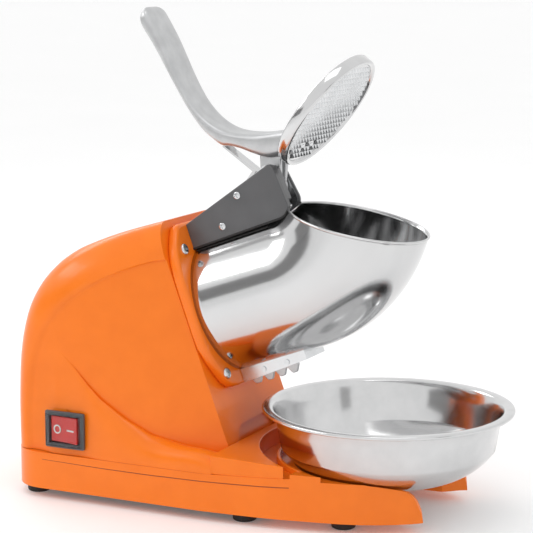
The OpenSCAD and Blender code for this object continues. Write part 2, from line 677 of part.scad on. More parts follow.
module bowl() color(steel) translate([bowl_x, 0, 0]) rotate_extrude($fn = 144) difference() {
    union() {
        polygon(concat(bowl_section(0),
            [[bowl_d / 2 - 1.6, bowl_z - 2.6], [bowl_d / 2 - 1.6, bowl_z], [0, bowl_z]]));
        translate([bowl_d / 2 - 1.6, bowl_z - 1.6]) circle(r = 1.6, $fn = 32);
    }
    polygon(concat(bowl_section(bowl_t), [[92 - bowl_t, bowl_z + 2], [0, bowl_z + 2]]));
    translate([93, bowl_z - 4.4]) square([4.8, 3.4]);
}

base_tray();
bottom_cover();
cover_screws();
rubber_feet();
housing_shell();
housing_screws();
front_ring();
flange_screws();
hopper();
chute();
chute_comb();
chute_screws();
hinge_bracket();
bracket_cover_near();
bracket_cover_far();
bracket_top();
bracket_gasket();
bracket_rivets();
hinge_pin();
torsion_spring();
stop_strip();
safety_switch();
switch_screws();
switch_plunger();
lever_arm();
hinge_bushes();
pusher_plate();
pusher_screws();
motor_mount_plate();
front_bell();
rear_bell();
stator_core();
stator_windings();
tie_bolts();
mount_screws();
front_bearing();
rear_bearing();
shaft_seal();
motor_shaft();
rotor();
cooling_fan();
cutter_disc();
cutter_blades();
blade_screws();
disc_nut();
run_capacitor();
capacitor_clip();
terminal_block();
switch_body();
switch_bezel();
switch_cover();
rocker();
cord_gland();
gland_nut();
bowl();
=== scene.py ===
"""Shaved ice machine: glossy housing, steel hopper and bowl, cast lever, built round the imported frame."""
import json
import math

import bmesh
import bpy
from mathutils import Matrix, Vector


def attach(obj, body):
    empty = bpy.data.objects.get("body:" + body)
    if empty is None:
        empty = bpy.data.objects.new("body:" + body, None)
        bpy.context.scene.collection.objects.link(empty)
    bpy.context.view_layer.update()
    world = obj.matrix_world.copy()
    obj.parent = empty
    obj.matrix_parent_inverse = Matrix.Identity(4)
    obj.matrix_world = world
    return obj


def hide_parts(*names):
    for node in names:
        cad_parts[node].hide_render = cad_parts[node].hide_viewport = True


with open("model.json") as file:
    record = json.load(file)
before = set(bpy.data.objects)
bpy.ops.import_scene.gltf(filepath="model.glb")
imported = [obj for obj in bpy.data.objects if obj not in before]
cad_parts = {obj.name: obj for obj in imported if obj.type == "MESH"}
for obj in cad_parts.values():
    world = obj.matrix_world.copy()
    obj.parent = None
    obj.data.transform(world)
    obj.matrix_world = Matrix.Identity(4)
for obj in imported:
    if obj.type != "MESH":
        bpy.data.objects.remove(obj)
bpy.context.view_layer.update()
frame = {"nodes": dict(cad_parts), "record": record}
MM = 0.001

# Shared geometry, in millimetres: the cutter axis runs from FLANGE along AXIS, UP is square to it.
# A distance along that axis ends in _S, and a distance above it in _P.
FLANGE = Vector((-32, 0, 158))
AXIS = Vector((0.93667, 0, 0.35021))
UP = Vector((-0.35021, 0, 0.93667))
HINGE = Vector((-2, 0, 252))
HINGE_S, HINGE_P = 61.0, 77.6
TUBE_R = 55.5
TUBE_BACK_S = -12
FACE_S = -20.0
PAD_S = -11.5
BOWL_X = 98.0
WELL_R = 101.5
SHOULDER_Z = 197.4
SKIRT_Z = 38.4
COVER_Y = -27
SWITCH = Vector((-142, 0, 59))
BEYOND = 110  # past either side of the machine
CORNERS = ((-1, -1), (1, -1), (1, 1), (-1, 1))


def drum(s, p, y):
    """Point at distance s along the cutter axis, p above it and y across."""
    return FLANGE + AXIS * s + UP * p + Vector((0, y, 0))


# ---------------------------------------------------------------- camera
SENSOR = 36
FOCAL = 1897.07 / 533  # focal length in picture widths
CAMERA_AT = Vector((0.6501, -1.3541, 0.4418))
CAMERA_AIM = Vector((-0.0089, 0, 0.1873))


def make_camera():
    cam = bpy.data.cameras.new("camera")
    cam.sensor_width = SENSOR
    cam.lens = FOCAL * SENSOR
    obj = bpy.data.objects.new("camera", cam)
    bpy.context.scene.collection.objects.link(obj)
    obj.location = CAMERA_AT
    obj.rotation_euler = (CAMERA_AIM - Vector(obj.location)).to_track_quat("-Z", "Y").to_euler()
    bpy.context.scene.camera = obj


make_camera()


# ---------------------------------------------------------------- materials
def node_material(name):
    mat = bpy.data.materials.new(name)
    mat.use_nodes = True
    nt = mat.node_tree
    return mat, nt, nt.nodes["Principled BSDF"]


def noise(nt, scale, detail=3.0, stretch=None):
    coord = nt.nodes.new("ShaderNodeTexCoord")
    tex = nt.nodes.new("ShaderNodeTexNoise")
    tex.inputs["Scale"].default_value = scale
    tex.inputs["Detail"].default_value = detail
    if stretch:
        mapping = nt.nodes.new("ShaderNodeMapping")
        mapping.inputs["Scale"].default_value = stretch
        nt.links.new(coord.outputs["Object"], mapping.inputs["Vector"])
        nt.links.new(mapping.outputs["Vector"], tex.inputs["Vector"])
    else:
        nt.links.new(coord.outputs["Object"], tex.inputs["Vector"])
    return tex


def ramp(nt, source, low, high, at=(0.3, 0.7)):
    node = nt.nodes.new("ShaderNodeValToRGB")
    node.color_ramp.elements[0].color = (*low, 1)
    node.color_ramp.elements[1].color = (*high, 1)
    node.color_ramp.elements[0].position, node.color_ramp.elements[1].position = at
    nt.links.new(source, node.inputs["Fac"])
    return node


def value_range(nt, source, low, high):
    node = nt.nodes.new("ShaderNodeMapRange")
    node.inputs["To Min"].default_value = low
    node.inputs["To Max"].default_value = high
    nt.links.new(source, node.inputs["Value"])
    return node


def bump(nt, source, strength, distance, target):
    node = nt.nodes.new("ShaderNodeBump")
    node.inputs["Strength"].default_value = strength
    node.inputs["Distance"].default_value = distance
    nt.links.new(source, node.inputs["Height"])
    nt.links.new(node.outputs["Normal"], target)


def surface(name, low, high, rough, metallic=0.0, coat=0.0, scale=60, grain=700, depth=0.02,
            stretch=None, spec=0.5):
    """Two-tone colour, uneven roughness and a fine bump."""
    mat, nt, bsdf = node_material(name)
    cloud = noise(nt, scale, 4.0, stretch)
    fine = noise(nt, grain, 2.0, stretch)
    nt.links.new(ramp(nt, cloud.outputs["Fac"], low, high).outputs["Color"], bsdf.inputs["Base Color"])
    nt.links.new(value_range(nt, fine.outputs["Fac"], *rough).outputs["Result"], bsdf.inputs["Roughness"])
    bump(nt, fine.outputs["Fac"], 0.25, depth * MM, bsdf.inputs["Normal"])
    bsdf.inputs["Metallic"].default_value = metallic
    bsdf.inputs["Coat Weight"].default_value = coat
    bsdf.inputs["Coat Roughness"].default_value = 0.08
    bsdf.inputs["Specular IOR Level"].default_value = spec
    return mat


ORANGE = surface("orange_plastic", (0.88, 0.185, 0.008), (0.92, 0.2, 0.01), (0.26, 0.32), coat=0.1, grain=900,
                 spec=0.3)
# A lighter copy of the same orange plastic for the front pad and the well lip; its lighter colour is painted
# light.
ORANGE_PAINTED_LIGHT = surface("orange_painted_light", (0.9, 0.185, 0.008), (0.94, 0.2, 0.01), (0.22, 0.28), coat=0.15, grain=900,
                     spec=0.35)
STEEL = surface("polished_steel", (0.62, 0.622, 0.625), (0.67, 0.67, 0.672), (0.1, 0.15), 1.0,
                grain=900, depth=0.004, stretch=(0.15, 1, 0.15))
BOWL_STEEL = surface("bowl_steel", (0.64, 0.642, 0.645), (0.7, 0.7, 0.702), (0.12, 0.18), 1.0,
                     grain=800, depth=0.004)
ZINC = surface("bright_zinc", (0.62, 0.63, 0.64), (0.72, 0.73, 0.74), (0.16, 0.28), 1.0, scale=200)
ALU_SHEET = surface("satin_aluminium", (0.68, 0.69, 0.7), (0.76, 0.77, 0.78), (0.2, 0.3), 1.0,
                    stretch=(0.2, 1, 1))
CAST = surface("cast_aluminium", (0.52, 0.525, 0.53), (0.6, 0.605, 0.61), (0.32, 0.44), 0.9,
               scale=90, depth=0.05)
CAST_BRIGHT = surface("tumbled_aluminium", (0.66, 0.67, 0.68), (0.76, 0.77, 0.78), (0.2, 0.32), 1.0,
                      depth=0.03)
GREY = surface("grey_cover", (0.085, 0.085, 0.088), (0.1, 0.1, 0.104), (0.3, 0.38), coat=0.15, depth=0.015)
BLACK = surface("black_plastic", (0.012, 0.012, 0.013), (0.022, 0.022, 0.023), (0.32, 0.45), depth=0.02)
RUBBER = surface("black_rubber", (0.012, 0.012, 0.012), (0.022, 0.021, 0.02), (0.6, 0.75), depth=0.04)
BEZEL = surface("switch_frame", (0.06, 0.062, 0.068), (0.085, 0.088, 0.095), (0.3, 0.4))
RED = surface("red_rocker", (0.62, 0.012, 0.008), (0.7, 0.02, 0.012), (0.14, 0.2), coat=0.5)
WHITE = surface("white_mark", (0.82, 0.8, 0.78), (0.9, 0.88, 0.86), (0.35, 0.45))
CREAM = surface("cream_plastic", (0.7, 0.69, 0.64), (0.78, 0.77, 0.72), (0.35, 0.5))
COPPER = surface("enamelled_copper", (0.5, 0.2, 0.06), (0.66, 0.3, 0.1), (0.25, 0.4), 0.9, stretch=(1, 9, 1))
BRONZE = surface("sintered_bronze", (0.5, 0.33, 0.14), (0.6, 0.42, 0.2), (0.3, 0.5), 0.9)
CORE = surface("laminated_core", (0.2, 0.2, 0.22), (0.34, 0.34, 0.36), (0.35, 0.5), 0.9, stretch=(9, 1, 9))
SHADOW = surface("parting_shadow", (0.25, 0.04, 0.002), (0.3, 0.05, 0.003), (0.5, 0.6))


def clear_plastic():
    mat, nt, bsdf = node_material("clear_cover")
    fine = noise(nt, 300)
    tint = ramp(nt, fine.outputs["Fac"], (0.93, 0.93, 0.94), (0.98, 0.98, 0.98))
    nt.links.new(tint.outputs["Color"], bsdf.inputs["Base Color"])
    nt.links.new(value_range(nt, fine.outputs["Fac"], 0.04, 0.1).outputs["Result"], bsdf.inputs["Roughness"])
    bsdf.inputs["Transmission Weight"].default_value = 1.0
    bsdf.inputs["IOR"].default_value = 1.15
    return mat


CLEAR = clear_plastic()

SLOT_LOOK = {
    "orange_plastic": ORANGE, "dark_plastic": BLACK, "black_plastic": BLACK, "white_plastic": CREAM,
    "red_plastic": RED, "clear_plastic": CLEAR, "grey_paint": GREY, "rubber": RUBBER, "polished_steel": STEEL,
    "zinc_steel": ZINC, "sheet_aluminium": ALU_SHEET, "cast_aluminium": CAST, "lamination": CORE,
    "copper": COPPER, "bronze": BRONZE,
}


def dress_cad_nodes():
    """Every node of the frame gets the look of its material slot."""
    for part in frame["record"]["subparts"]:
        node = frame["nodes"][part["node"]]
        look = SLOT_LOOK[part["material_slot"]]
        for place in node.material_slots:
            place.material = look
        if not node.material_slots:
            node.data.materials.append(look)


dress_cad_nodes()


# ---------------------------------------------------------------- mesh helpers, all in millimetres
def add(name, verts, faces, mat, body="base", slot=None, replaces=(), smooth=40, bevel=0, segments=3):
    """New piece from points and faces, finished by dress."""
    mesh = bpy.data.meshes.new(name)
    mesh.from_pydata([tuple(c * MM for c in v) for v in verts], [], faces)
    mesh.materials.append(mat)
    obj = bpy.data.objects.new(name, mesh)
    bpy.context.scene.collection.objects.link(obj)
    return dress(obj, body, replaces, smooth, bevel, segments)


def dress(obj, body, replaces, smooth, bevel, segments=3):
    """Closes the mesh, rounds and shades its edges, and ties the piece to its body."""
    bm = bmesh.new()
    bm.from_mesh(obj.data)
    bmesh.ops.remove_doubles(bm, verts=bm.verts, dist=1e-6)
    bmesh.ops.recalc_face_normals(bm, faces=bm.faces)
    bm.to_mesh(obj.data)
    bm.free()
    if bevel:
        mod = obj.modifiers.new("edge", "BEVEL")
        mod.width = bevel * MM
        mod.segments = segments
        mod.limit_method = "ANGLE"
        mod.angle_limit = math.radians(35)
        mod.harden_normals = False
    for f in obj.data.polygons:
        f.use_smooth = True
    with_angle(obj, smooth)
    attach(obj, body)
    if replaces:
        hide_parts(*replaces)
    return obj


def with_angle(obj, degrees):
    """Sharp edges above an angle, marked on the mesh itself."""
    bm = bmesh.new()
    bm.from_mesh(obj.data)
    for e in bm.edges:
        if len(e.link_faces) == 2 and e.calc_face_angle(0) > math.radians(degrees):
            e.smooth = False
    bm.to_mesh(obj.data)
    bm.free()


def grid_faces(rows, cols, wrap=False):
    """Quads over rows of points; wrap joins the last column to the first."""
    out = []
    for i in range(rows - 1):
        low, high = i * cols, (i + 1) * cols
        for j in range(cols if wrap else cols - 1):
            k = (j + 1) % cols
            out.append((low + j, low + k, high + k, high + j))
    return out


def tube_faces(rings, n):
    """Quads over rings of n points, where the last ring joins the first."""
    out = []
    for a in range(rings):
        low, high = a * n, (a + 1) % rings * n
        out += [(low + i, low + (i + 1) % n, high + (i + 1) % n, high + i) for i in range(n)]
    return out


def turned(profile, place, steps):
    """Points of a (radius, height) profile at even steps round an axis."""
    verts = []
    for i in range(steps):
        a = 2 * math.pi * i / steps
        verts += [place(r * math.cos(a), r * math.sin(a), h) for r, h in profile]
    return verts


def pulled(outline, y0, y1, place):
    """Points and faces of an outline of (x, z) points pulled from y0 to y1."""
    n = len(outline)
    verts = [place(x, y0, z) for x, z in outline] + [place(x, y1, z) for x, z in outline]
    faces = [tuple(range(n)), tuple(range(2 * n - 1, n - 1, -1))]
    faces += [(i, (i + 1) % n, n + (i + 1) % n, n + i) for i in range(n)]
    return verts, faces


def as_is(x, y, z):
    return x, y, z


def prism(name, outline, y0, y1, mat, place=as_is, **kw):
    """Piece from an outline of (x, z) points pulled from y0 to y1; place maps (x, y, z) to a point."""
    return add(name, *pulled(outline, y0, y1, place), mat, **kw)


def lathe(name, profile, place, mat, steps=96, **kw):
    """Closed profile of (radius, height) points turned round an axis; place maps (x, y, h) to a point."""
    return add(name, turned(profile, place, steps), tube_faces(steps, len(profile)), mat, **kw)


def cut(obj, cutter, mode="DIFFERENCE"):
    """Boolean with a helper object, applied at once."""
    mod = obj.modifiers.new("cut", "BOOLEAN")
    mod.operation = mode
    mod.object = cutter
    mod.solver = "EXACT"
    bpy.context.view_layer.update()
    done = bpy.data.meshes.new_from_object(obj.evaluated_get(bpy.context.evaluated_depsgraph_get()))
    obj.modifiers.clear()
    obj.data = done
    bpy.data.objects.remove(cutter)


def raw(name, verts, faces, mat=None):
    """Bare object, to be cut or dressed later."""
    mesh = bpy.data.meshes.new(name)
    mesh.from_pydata([tuple(c * MM for c in v) for v in verts], [], faces)
    if mat:
        mesh.materials.append(mat)
    bm = bmesh.new()
    bm.from_mesh(mesh)
    bmesh.ops.recalc_face_normals(bm, faces=bm.faces)
    bm.to_mesh(mesh)
    bm.free()
    obj = bpy.data.objects.new(name, mesh)
    bpy.context.scene.collection.objects.link(obj)
    return obj


def raw_prism(name, outline, y0, y1, place=as_is, mat=None):
    return raw(name, *pulled(outline, y0, y1, place), mat)


def raw_lathe(name, profile, place, steps=96):
    """Solid of revolution whose profile starts and ends on the axis."""
    cols, faces = len(profile), []
    for i in range(steps):
        k = (i + 1) % steps
        faces += [(i * cols + j, i * cols + j + 1, k * cols + j + 1, k * cols + j) for j in range(cols - 1)]
    obj = raw(name, turned(profile, place, steps), faces)
    bm = bmesh.new()
    bm.from_mesh(obj.data)
    bmesh.ops.remove_doubles(bm, verts=bm.verts, dist=1e-7)
    bmesh.ops.dissolve_degenerate(bm, edges=bm.edges, dist=1e-7)
    bmesh.ops.recalc_face_normals(bm, faces=bm.faces)
    bm.to_mesh(obj.data)
    bm.free()
    return obj


def wire(name, points, radius, mat, swell=None):
    """Round rod through the points, as a mesh; swell scales the radius along it, from 0 to 1."""
    curve = bpy.data.curves.new(name, "CURVE")
    curve.dimensions = "3D"
    curve.bevel_depth = radius * MM
    curve.bevel_resolution = 4
    curve.use_fill_caps = True
    spline = curve.splines.new("POLY")
    spline.points.add(len(points) - 1)
    for k, (q, v) in enumerate(zip(spline.points, points)):
        q.co = (*[c * MM for c in v], 1)
        if swell:
            q.radius = swell(k / (len(points) - 1))
    obj = bpy.data.objects.new(name, curve)
    bpy.context.scene.collection.objects.link(obj)
    bpy.context.view_layer.update()
    mesh = bpy.data.meshes.new_from_object(obj.evaluated_get(bpy.context.evaluated_depsgraph_get()))
    bpy.data.objects.remove(obj)
    mesh.materials.clear()
    mesh.materials.append(mat)
    obj = bpy.data.objects.new(name, mesh)
    bpy.context.scene.collection.objects.link(obj)
    return dress(obj, "base", (), 60, 0)


def smooth_path(points, steps):
    """Catmull-Rom curve through the points, at even parameter steps."""
    out, n = [], len(points)
    for k in range(steps):
        t = k / (steps - 1) * (n - 1)
        i = min(int(t), n - 2)
        f = t - i
        q = [points[max(i - 1, 0)], points[i], points[i + 1], points[min(i + 2, n - 1)]]
        out.append(tuple(0.5 * (2 * b + (c - a) * f + (2 * a - 5 * b + 4 * c - d) * f * f
                                + (3 * b - a - 3 * c + d) * f ** 3) for a, b, c, d in zip(*q)))
    return out


def arc(cx, cy, r, a0, a1, n):
    """Points of an arc from a0 to a1 degrees in n steps."""
    return [(cx + r * math.cos(math.radians(a0 + (a1 - a0) * i / n)),
             cy + r * math.sin(math.radians(a0 + (a1 - a0) * i / n))) for i in range(n + 1)]


def quarter():
    """Angles of a quarter turn, in radians."""
    return [math.pi / 2 * i / 8 for i in range(9)]


def ease(t):
    """Smooth step from 0 to 1."""
    t = min(max(t, 0.0), 1.0)
    return t * t * (3 - 2 * t)


# ---------------------------------------------------------------- housing
# The crest and the shoulder crease in (x, z), from front to rear; the half width of apron and legs
# in (x, y) and the curved groove of the side panel in (x, z), from rear to front
TOP_LINE = [(-78.6, 225.5), (-97, 220.4), (-116, 214.2), (-135, 206.7), (-150, 199.3), (-165, 188.5),
            (-180, 172), (-191, 150), (-197, 120), (-198.3, 80), (-198, SKIRT_Z)]
SIDE_LINE = [(-68.3, SHOULDER_Z), (-78.5, 196), (-96.1, 190.4), (-115.6, 181.8), (-131.8, 172.4),
             (-146, 161.5), (-159, 147), (-169, 130.5), (-177.1, 105), (-181.2, 73), (-181, SKIRT_Z)]
OUTER = [(-20, 95.8), (5, 93.9), (30, 91.8), (46, 89.6), (61.6, 86.4), (77, 83.5), (92, 80), (107, 75.2),
         (120.5, 69), (131, 63), (140, 56.7), (145.4, 52)]
GROOVE = [(-153.6, 126.5), (-145, 117.3), (-135.2, 107.8), (-124, 96), (-112.4, 85.6), (-90.8, 71.2),
          (-70.5, 60.3), (-40.1, 51.7), (-12.2, 45.3), (10, 43)]
GROOVE_REAR = -154
FRONT_HALF, SIDE_SWELL, SKIRT_HALF = 60.5, 30.5, 95.2


def front_x(z):
    """Front plane of the housing, square to the cutter axis."""
    return FLANGE.x + FACE_S / AXIS.x - (z - FLANGE.z) * AXIS.z / AXIS.x


def groove_z(x):
    """Height of the curved groove line on the side panel."""
    if x <= GROOVE[0][0]:
        return GROOVE[0][1] - (GROOVE[0][0] - x) * 3.5
    for (x0, z0), (x1, z1) in zip(GROOVE, GROOVE[1:]):
        if x <= x1:
            return z0 + (z1 - z0) * (x - x0) / (x1 - x0)
    return GROOVE[-1][1]


def side_y(x, z):
    """Half width of the housing at a point of its side view."""
    reach = min(max(front_x(z) - x, 0) / 125, 1)
    half = FRONT_HALF + SIDE_SWELL * (1 - (1 - reach) ** 2)
    share = min(max(groove_z(x) - z, 0) / 80, 1)
    return half + (SKIRT_HALF - half) * share ** 2 * (1 - ease((x + 150) / 50))


def outer_y(x):
    """Half width of the apron line above the base."""
    for (x0, y0), (x1, y1) in zip(OUTER, OUTER[1:]):
        if x <= x1:
            return y0 + (y1 - y0) * max(x - x0, 0) / (x1 - x0) - 0.5
    return OUTER[-1][1]


def fender():
    """Flared skirt below the groove on both sides, standing a little proud of the side panel."""
    steps, rings, length = 90, 18, 143.5
    for sign, side in ((-1, "near"), (1, "far")):
        verts = []
        for i in range(steps):
            x = GROOVE_REAR + length * i / (steps - 1)
            gz = groove_z(x)
            gy = side_y(x, gz) + 1.5 * ease((x - GROOVE_REAR) / 22)
            lift = ease((x + 70) / 50)
            out = outer_y(x)
            pts = [(gy, gz), (gy + (out - gy) * 0.55, gz + 8 * lift),
                   (out, SKIRT_Z + 0.62 * (gz - SKIRT_Z) + 13 * lift), (out, SKIRT_Z)]
            inner = side_y(x, gz - 3) - 3
            verts.append((x, sign * inner, gz - 4))
            for k in range(rings):
                t = k / (rings - 1)
                w = ((1 - t) ** 3, 3 * t * (1 - t) ** 2, 3 * t * t * (1 - t), t ** 3)
                y, z = (sum(a * q[n] for a, q in zip(w, pts)) for n in (0, 1))
                panel = side_y(x, z) - 1.7
                verts.append((x, sign * (panel + (y - panel) * ease((x - GROOVE_REAR) / 48)), z))
            verts.append((x, sign * 91, SKIRT_Z))
        faces = []
        for quad in grid_faces(steps, rings + 2):
            if not in_window(*(sum(verts[k][n] for k in quad) / 4 for n in range(3))):
                faces.append(quad)
        obj = add("fender_" + side, verts, faces, ORANGE, slot="orange_plastic", smooth=50,
                  replaces=("housing_shell",))
        wall = obj.modifiers.new("wall", "SOLIDIFY")
        wall.thickness = 0.8 * MM
        wall.offset = 0
        wall.use_rim = False
        bead = [verts[i * (rings + 2)] for i in range(steps - 2)]
        wire("groove_bead_" + side, [(x, y - sign * 0.5, z) for x, y, z in bead], 1.6, ORANGE,
             swell=lambda t: 0.15 + 0.85 * ease(t / 0.2))


def housing():
    """Crowned shell between the crest and the two shoulder creases, with its vents and openings."""
    rows, across, panel = 104, 15, 84
    top, crease = smooth_path(TOP_LINE, rows), smooth_path(SIDE_LINE, rows)
    verts = []
    for i in range(rows):
        t = i / (rows - 1)
        (cx, cz), (ax, az) = top[i], crease[i]
        ez = SHOULDER_Z + (SKIRT_Z - SHOULDER_Z) * t ** 0.9
        side = []
        for j in range(panel):
            f = j / (panel - 1)
            x, z = ax + (front_x(ez) - ax) * f, az + (ez - az) * f
            side.append((x, side_y(x, z) - 1.2 * ease(j / 2), z))
        wide = side[0][1]
        flat = wide - (19 + 13 * ease(t * 1.6))
        over = []
        for k in range(across):
            a = math.pi / 2 * k / (across - 1)
            f = 1 - math.cos(a)
            over.append((cx + (ax - cx) * f, flat + (wide - flat) * math.sin(a), cz + (az - cz) * f))
        verts += [(x, -y, z) for x, y, z in reversed(side[1:])] + [(x, -y, z) for x, y, z in reversed(over)]
        verts += [(cx, flat * q, cz) for q in (-0.5, 0, 0.5)] + over + side[1:]
    cols = len(verts) // rows
    faces = grid_faces(rows, cols)
    front = list(range(cols)) + [i * cols + cols - 1 for i in range(1, rows)]
    faces.append(tuple(front + [i * cols for i in range(rows - 1, 0, -1)]))
    faces.append(tuple((rows - 1) * cols + j for j in range(cols)))
    obj = raw("housing", verts, faces, ORANGE)
    tidy(obj)
    half, r, bottom, spring = 40, 16, 30, 47
    arch = [(-half, bottom)] + [(r - half - r * math.cos(a), spring + r * math.sin(a)) for a in quarter()]
    arch += [(half - r + r * math.sin(a), spring + r * math.cos(a)) for a in quarter()] + [(half, bottom)]
    cut(obj, raw_prism("arch", arch, 0, 60, lambda x, y, z: (front_x(z) - 7 + y, x, z)))
    vent, vent_width = [(-199.5, 74), (-188, 74), (-188, 100), (-199.5, 100)], 5
    for y in range(-48, 1, 12):
        cut(obj, raw_prism("vent", vent, y, y + vent_width))
    bm = bmesh.new()
    bm.from_mesh(obj.data)
    floor_z = (SKIRT_Z + 0.2) * MM
    gone = [f for f in bm.faces if f.normal.z < -0.9 and f.calc_center_median().z < floor_z]
    gone += [f for f in bm.faces if in_window(*(f.calc_center_median() / MM))]
    bmesh.ops.delete(bm, geom=gone, context="FACES")
    bm.to_mesh(obj.data)
    bm.free()
    wall = obj.modifiers.new("wall", "SOLIDIFY")
    wall.thickness = 2.4 * MM
    wall.offset = -1
    wall.use_rim = False
    return dress(obj, "base", ("housing_shell",), 38, 0)


def in_window(x, y, z):
    """Opening for the rocker switch in the near side."""
    return y < -80 and abs(x - SWITCH.x) < 16.2 and abs(z - SWITCH.z) < 12.7


def tidy(obj):
    """Joins points that lie together and drops faces without area."""
    bm = bmesh.new()
    bm.from_mesh(obj.data)
    bmesh.ops.remove_doubles(bm, verts=bm.verts, dist=0.02 * MM)
    bmesh.ops.dissolve_degenerate(bm, edges=bm.edges, dist=0.001 * MM)
    bmesh.ops.recalc_face_normals(bm, faces=bm.faces)
    bm.to_mesh(obj.data)
    bm.free()


housing()
fender()


# ---------------------------------------------------------------- apron and base tray
def at_bowl(x, y, h):
    """Point about the upright axis of the bowl."""
    return BOWL_X + x, y, h


def apron():
    """Low front edge of the housing, between the pad and the well of the bowl."""
    plan = [(x, -outer_y(x)) for x in (-11.4, 5, 30, 46, 53)]
    plan += [(x, -y) for x, y in reversed(plan)]
    obj = raw_prism("apron", plan, 38.5, 60, lambda x, y, z: (x, z, y), ORANGE)
    profile = [(-30, 38), (53, 38), (53, 49.4), (38.8, 50.3), (21.8, 51.4), (3.7, 52.4), (-12, 53.2),
               (-30, 54)]
    cut(obj, raw_prism("apron_side", profile, -BEYOND, BEYOND), "INTERSECT")
    cut(obj, raw_lathe("well", [(0, 20), (WELL_R, 20), (WELL_R, 70), (0, 70)], at_bowl, 144))
    return dress(obj, "base", ("housing_shell",), 38, 2.2, 4)


def base_tray():
    """Flat tray with two forward legs and a round well for the bowl between them."""
    corner = [(-168 - 30 * math.sin(a), -66 - 30 * math.cos(a)) for a in quarter()]
    side = [(x, -y) for x, y in OUTER] + [(147.7, -49.1), (145.8, -48.2), (142.6, -46.4), (137, -41)]
    side += [(131, -35.6), (122, -35), (84, -35)]
    side += [(78 - 8 * math.sin(a), -27 - 8 * math.cos(a)) for a in quarter()]
    near = list(reversed(corner)) + side
    plan = near + [(x, -y) for x, y in reversed(near)]
    obj = raw_prism("tray", plan, 8, 60, lambda x, y, z: (x, z, y), ORANGE)
    profile = [(-200, 8), (147.7, 8), (147.7, 9), (146.7, 15), (145.4, 20), (143.4, 25.8), (141, 30),
               (138, 33), (132, 35.2), (112, 39.4), (93, 42.8), (79, 44.2), (53.5, 45.6), (53.5, 40.6),
               (23, 39.4), (-20, 38), (-64.6, 38), (-110, 38), (-200, 38)]
    cut(obj, raw_prism("tray_side", profile, -BEYOND, BEYOND), "INTERSECT")
    well = [(0, 25.6), (42, 25.6), (52, 27.3), (60, 30.1), (68, 34.3), (75, 39.4), (86, 39.6), (86, 43.8),
            (WELL_R, 44.2), (WELL_R, 90), (0, 90)]
    cut(obj, raw_lathe("well", well, at_bowl, 144))
    hollow, hollow_half = [(-184, 7), (26, 7), (26, 20), (-20, 27), (-184, 27)], 86
    cut(obj, raw_prism("hollow", hollow, -hollow_half, hollow_half))
    wall, pocket_floor = 2.8, 19
    pocket = [(x, wall - outer_y(x)) for x in (112, 120.5, 131, 140, 145)]
    pocket += [(151, -45.8), (151, 0), (112, 0)]
    for outline, side in ((pocket, 1), (pocket[::-1], -1)):
        cut(obj, raw_prism("leg_pocket", outline, pocket_floor, 60, lambda x, y, z, k=side: (x, k * z, y)))
    return dress(obj, "base", ("base_tray",), 38, 1.6, 4)


def well_lip():
    """Low raised edge behind the bowl, inside the recess of the apron, in the lighter orange that is a
    painted highlight.
    """
    turn, inner, outer = [math.radians(a) for a in range(118, 243, 4)], 85, 88
    plan = [(BOWL_X + inner * math.cos(a), inner * math.sin(a)) for a in turn]
    plan += [(BOWL_X + outer * math.cos(a), outer * math.sin(a)) for a in reversed(turn)]
    prism("well_lip", plan, 38.5, 44.6, ORANGE_PAINTED_LIGHT, lambda x, h, y: (x, y, h), bevel=0.7,
          slot="orange_plastic")


def lower_seam():
    """Thin dark parting line laid in both side walls."""
    points = [(-164, 95.7, 32.3), (-110, 95.75, 31.3), (-64.6, 95.8, 31.2), (-20, 95.7, 31.9),
              (5, 93.9, 32.3), (30, 91.8, 32.9), (46, 89.6, 33.4), (53, 88.1, 33.7)]
    for sign, side in ((-1, "near"), (1, "far")):
        wire("lower_seam_" + side, [(x, sign * y, z) for x, y, z in points], 0.35, SHADOW)


apron()
base_tray()
well_lip()
lower_seam()

# ---------------------------------------------------------------- front pad and its screws
def front_pad():
    """Raised pad round the hopper, on the front plane of the housing, in the lighter orange that is painted
    light.
    """
    half = [(74, 0), (74, 36), (72.2, 40.8), (65.6, 46.5), (58, 52.3), (51, 55.6), (44.6, 57.6), (34, 59.3),
            (24, 59.8), (-14, 60.2), (-25, 59.6), (-37, 55), (-49, 48.2), (-57, 42.7), (-61.6, 37),
            (-63.6, 29), (-64, 22), (-64, 0)]
    outline = [(p, -y) for p, y in half] + [(p, y) for p, y in reversed(half[1:-1])]
    prism("front_pad", outline, FACE_S - 0.4, PAD_S, ORANGE_PAINTED_LIGHT, lambda p, s, y: drum(s, p, y), bevel=3.2,
          segments=5, slot="orange_plastic", replaces=("front_ring",))


def cross_screw(name, place, radius, height, replaces=()):
    """Pan head with a cross recess; place maps (x, y, h) to a point, h outwards."""
    shape = [(0, 0), (1, 0), (1, 0.35), (0.93, 0.62), (0.75, 0.85), (0.4, 1), (0, 1)]
    obj = raw_lathe(name, [(radius * r, height * h) for r, h in shape], place, 40)
    obj.data.materials.append(ZINC)
    for turn in (0.5, 0.5 + math.pi / 2):
        c, s = math.cos(turn), math.sin(turn)
        box = [(a * radius * 0.64, b * radius * 0.15) for a, b in CORNERS]
        cut(obj, raw_prism("slot", box, height * 0.25, height * 1.3,
                           lambda x, y, z: place(c * x - s * z, s * x + c * z, y)))
    return dress(obj, "base", replaces, 35, 0)


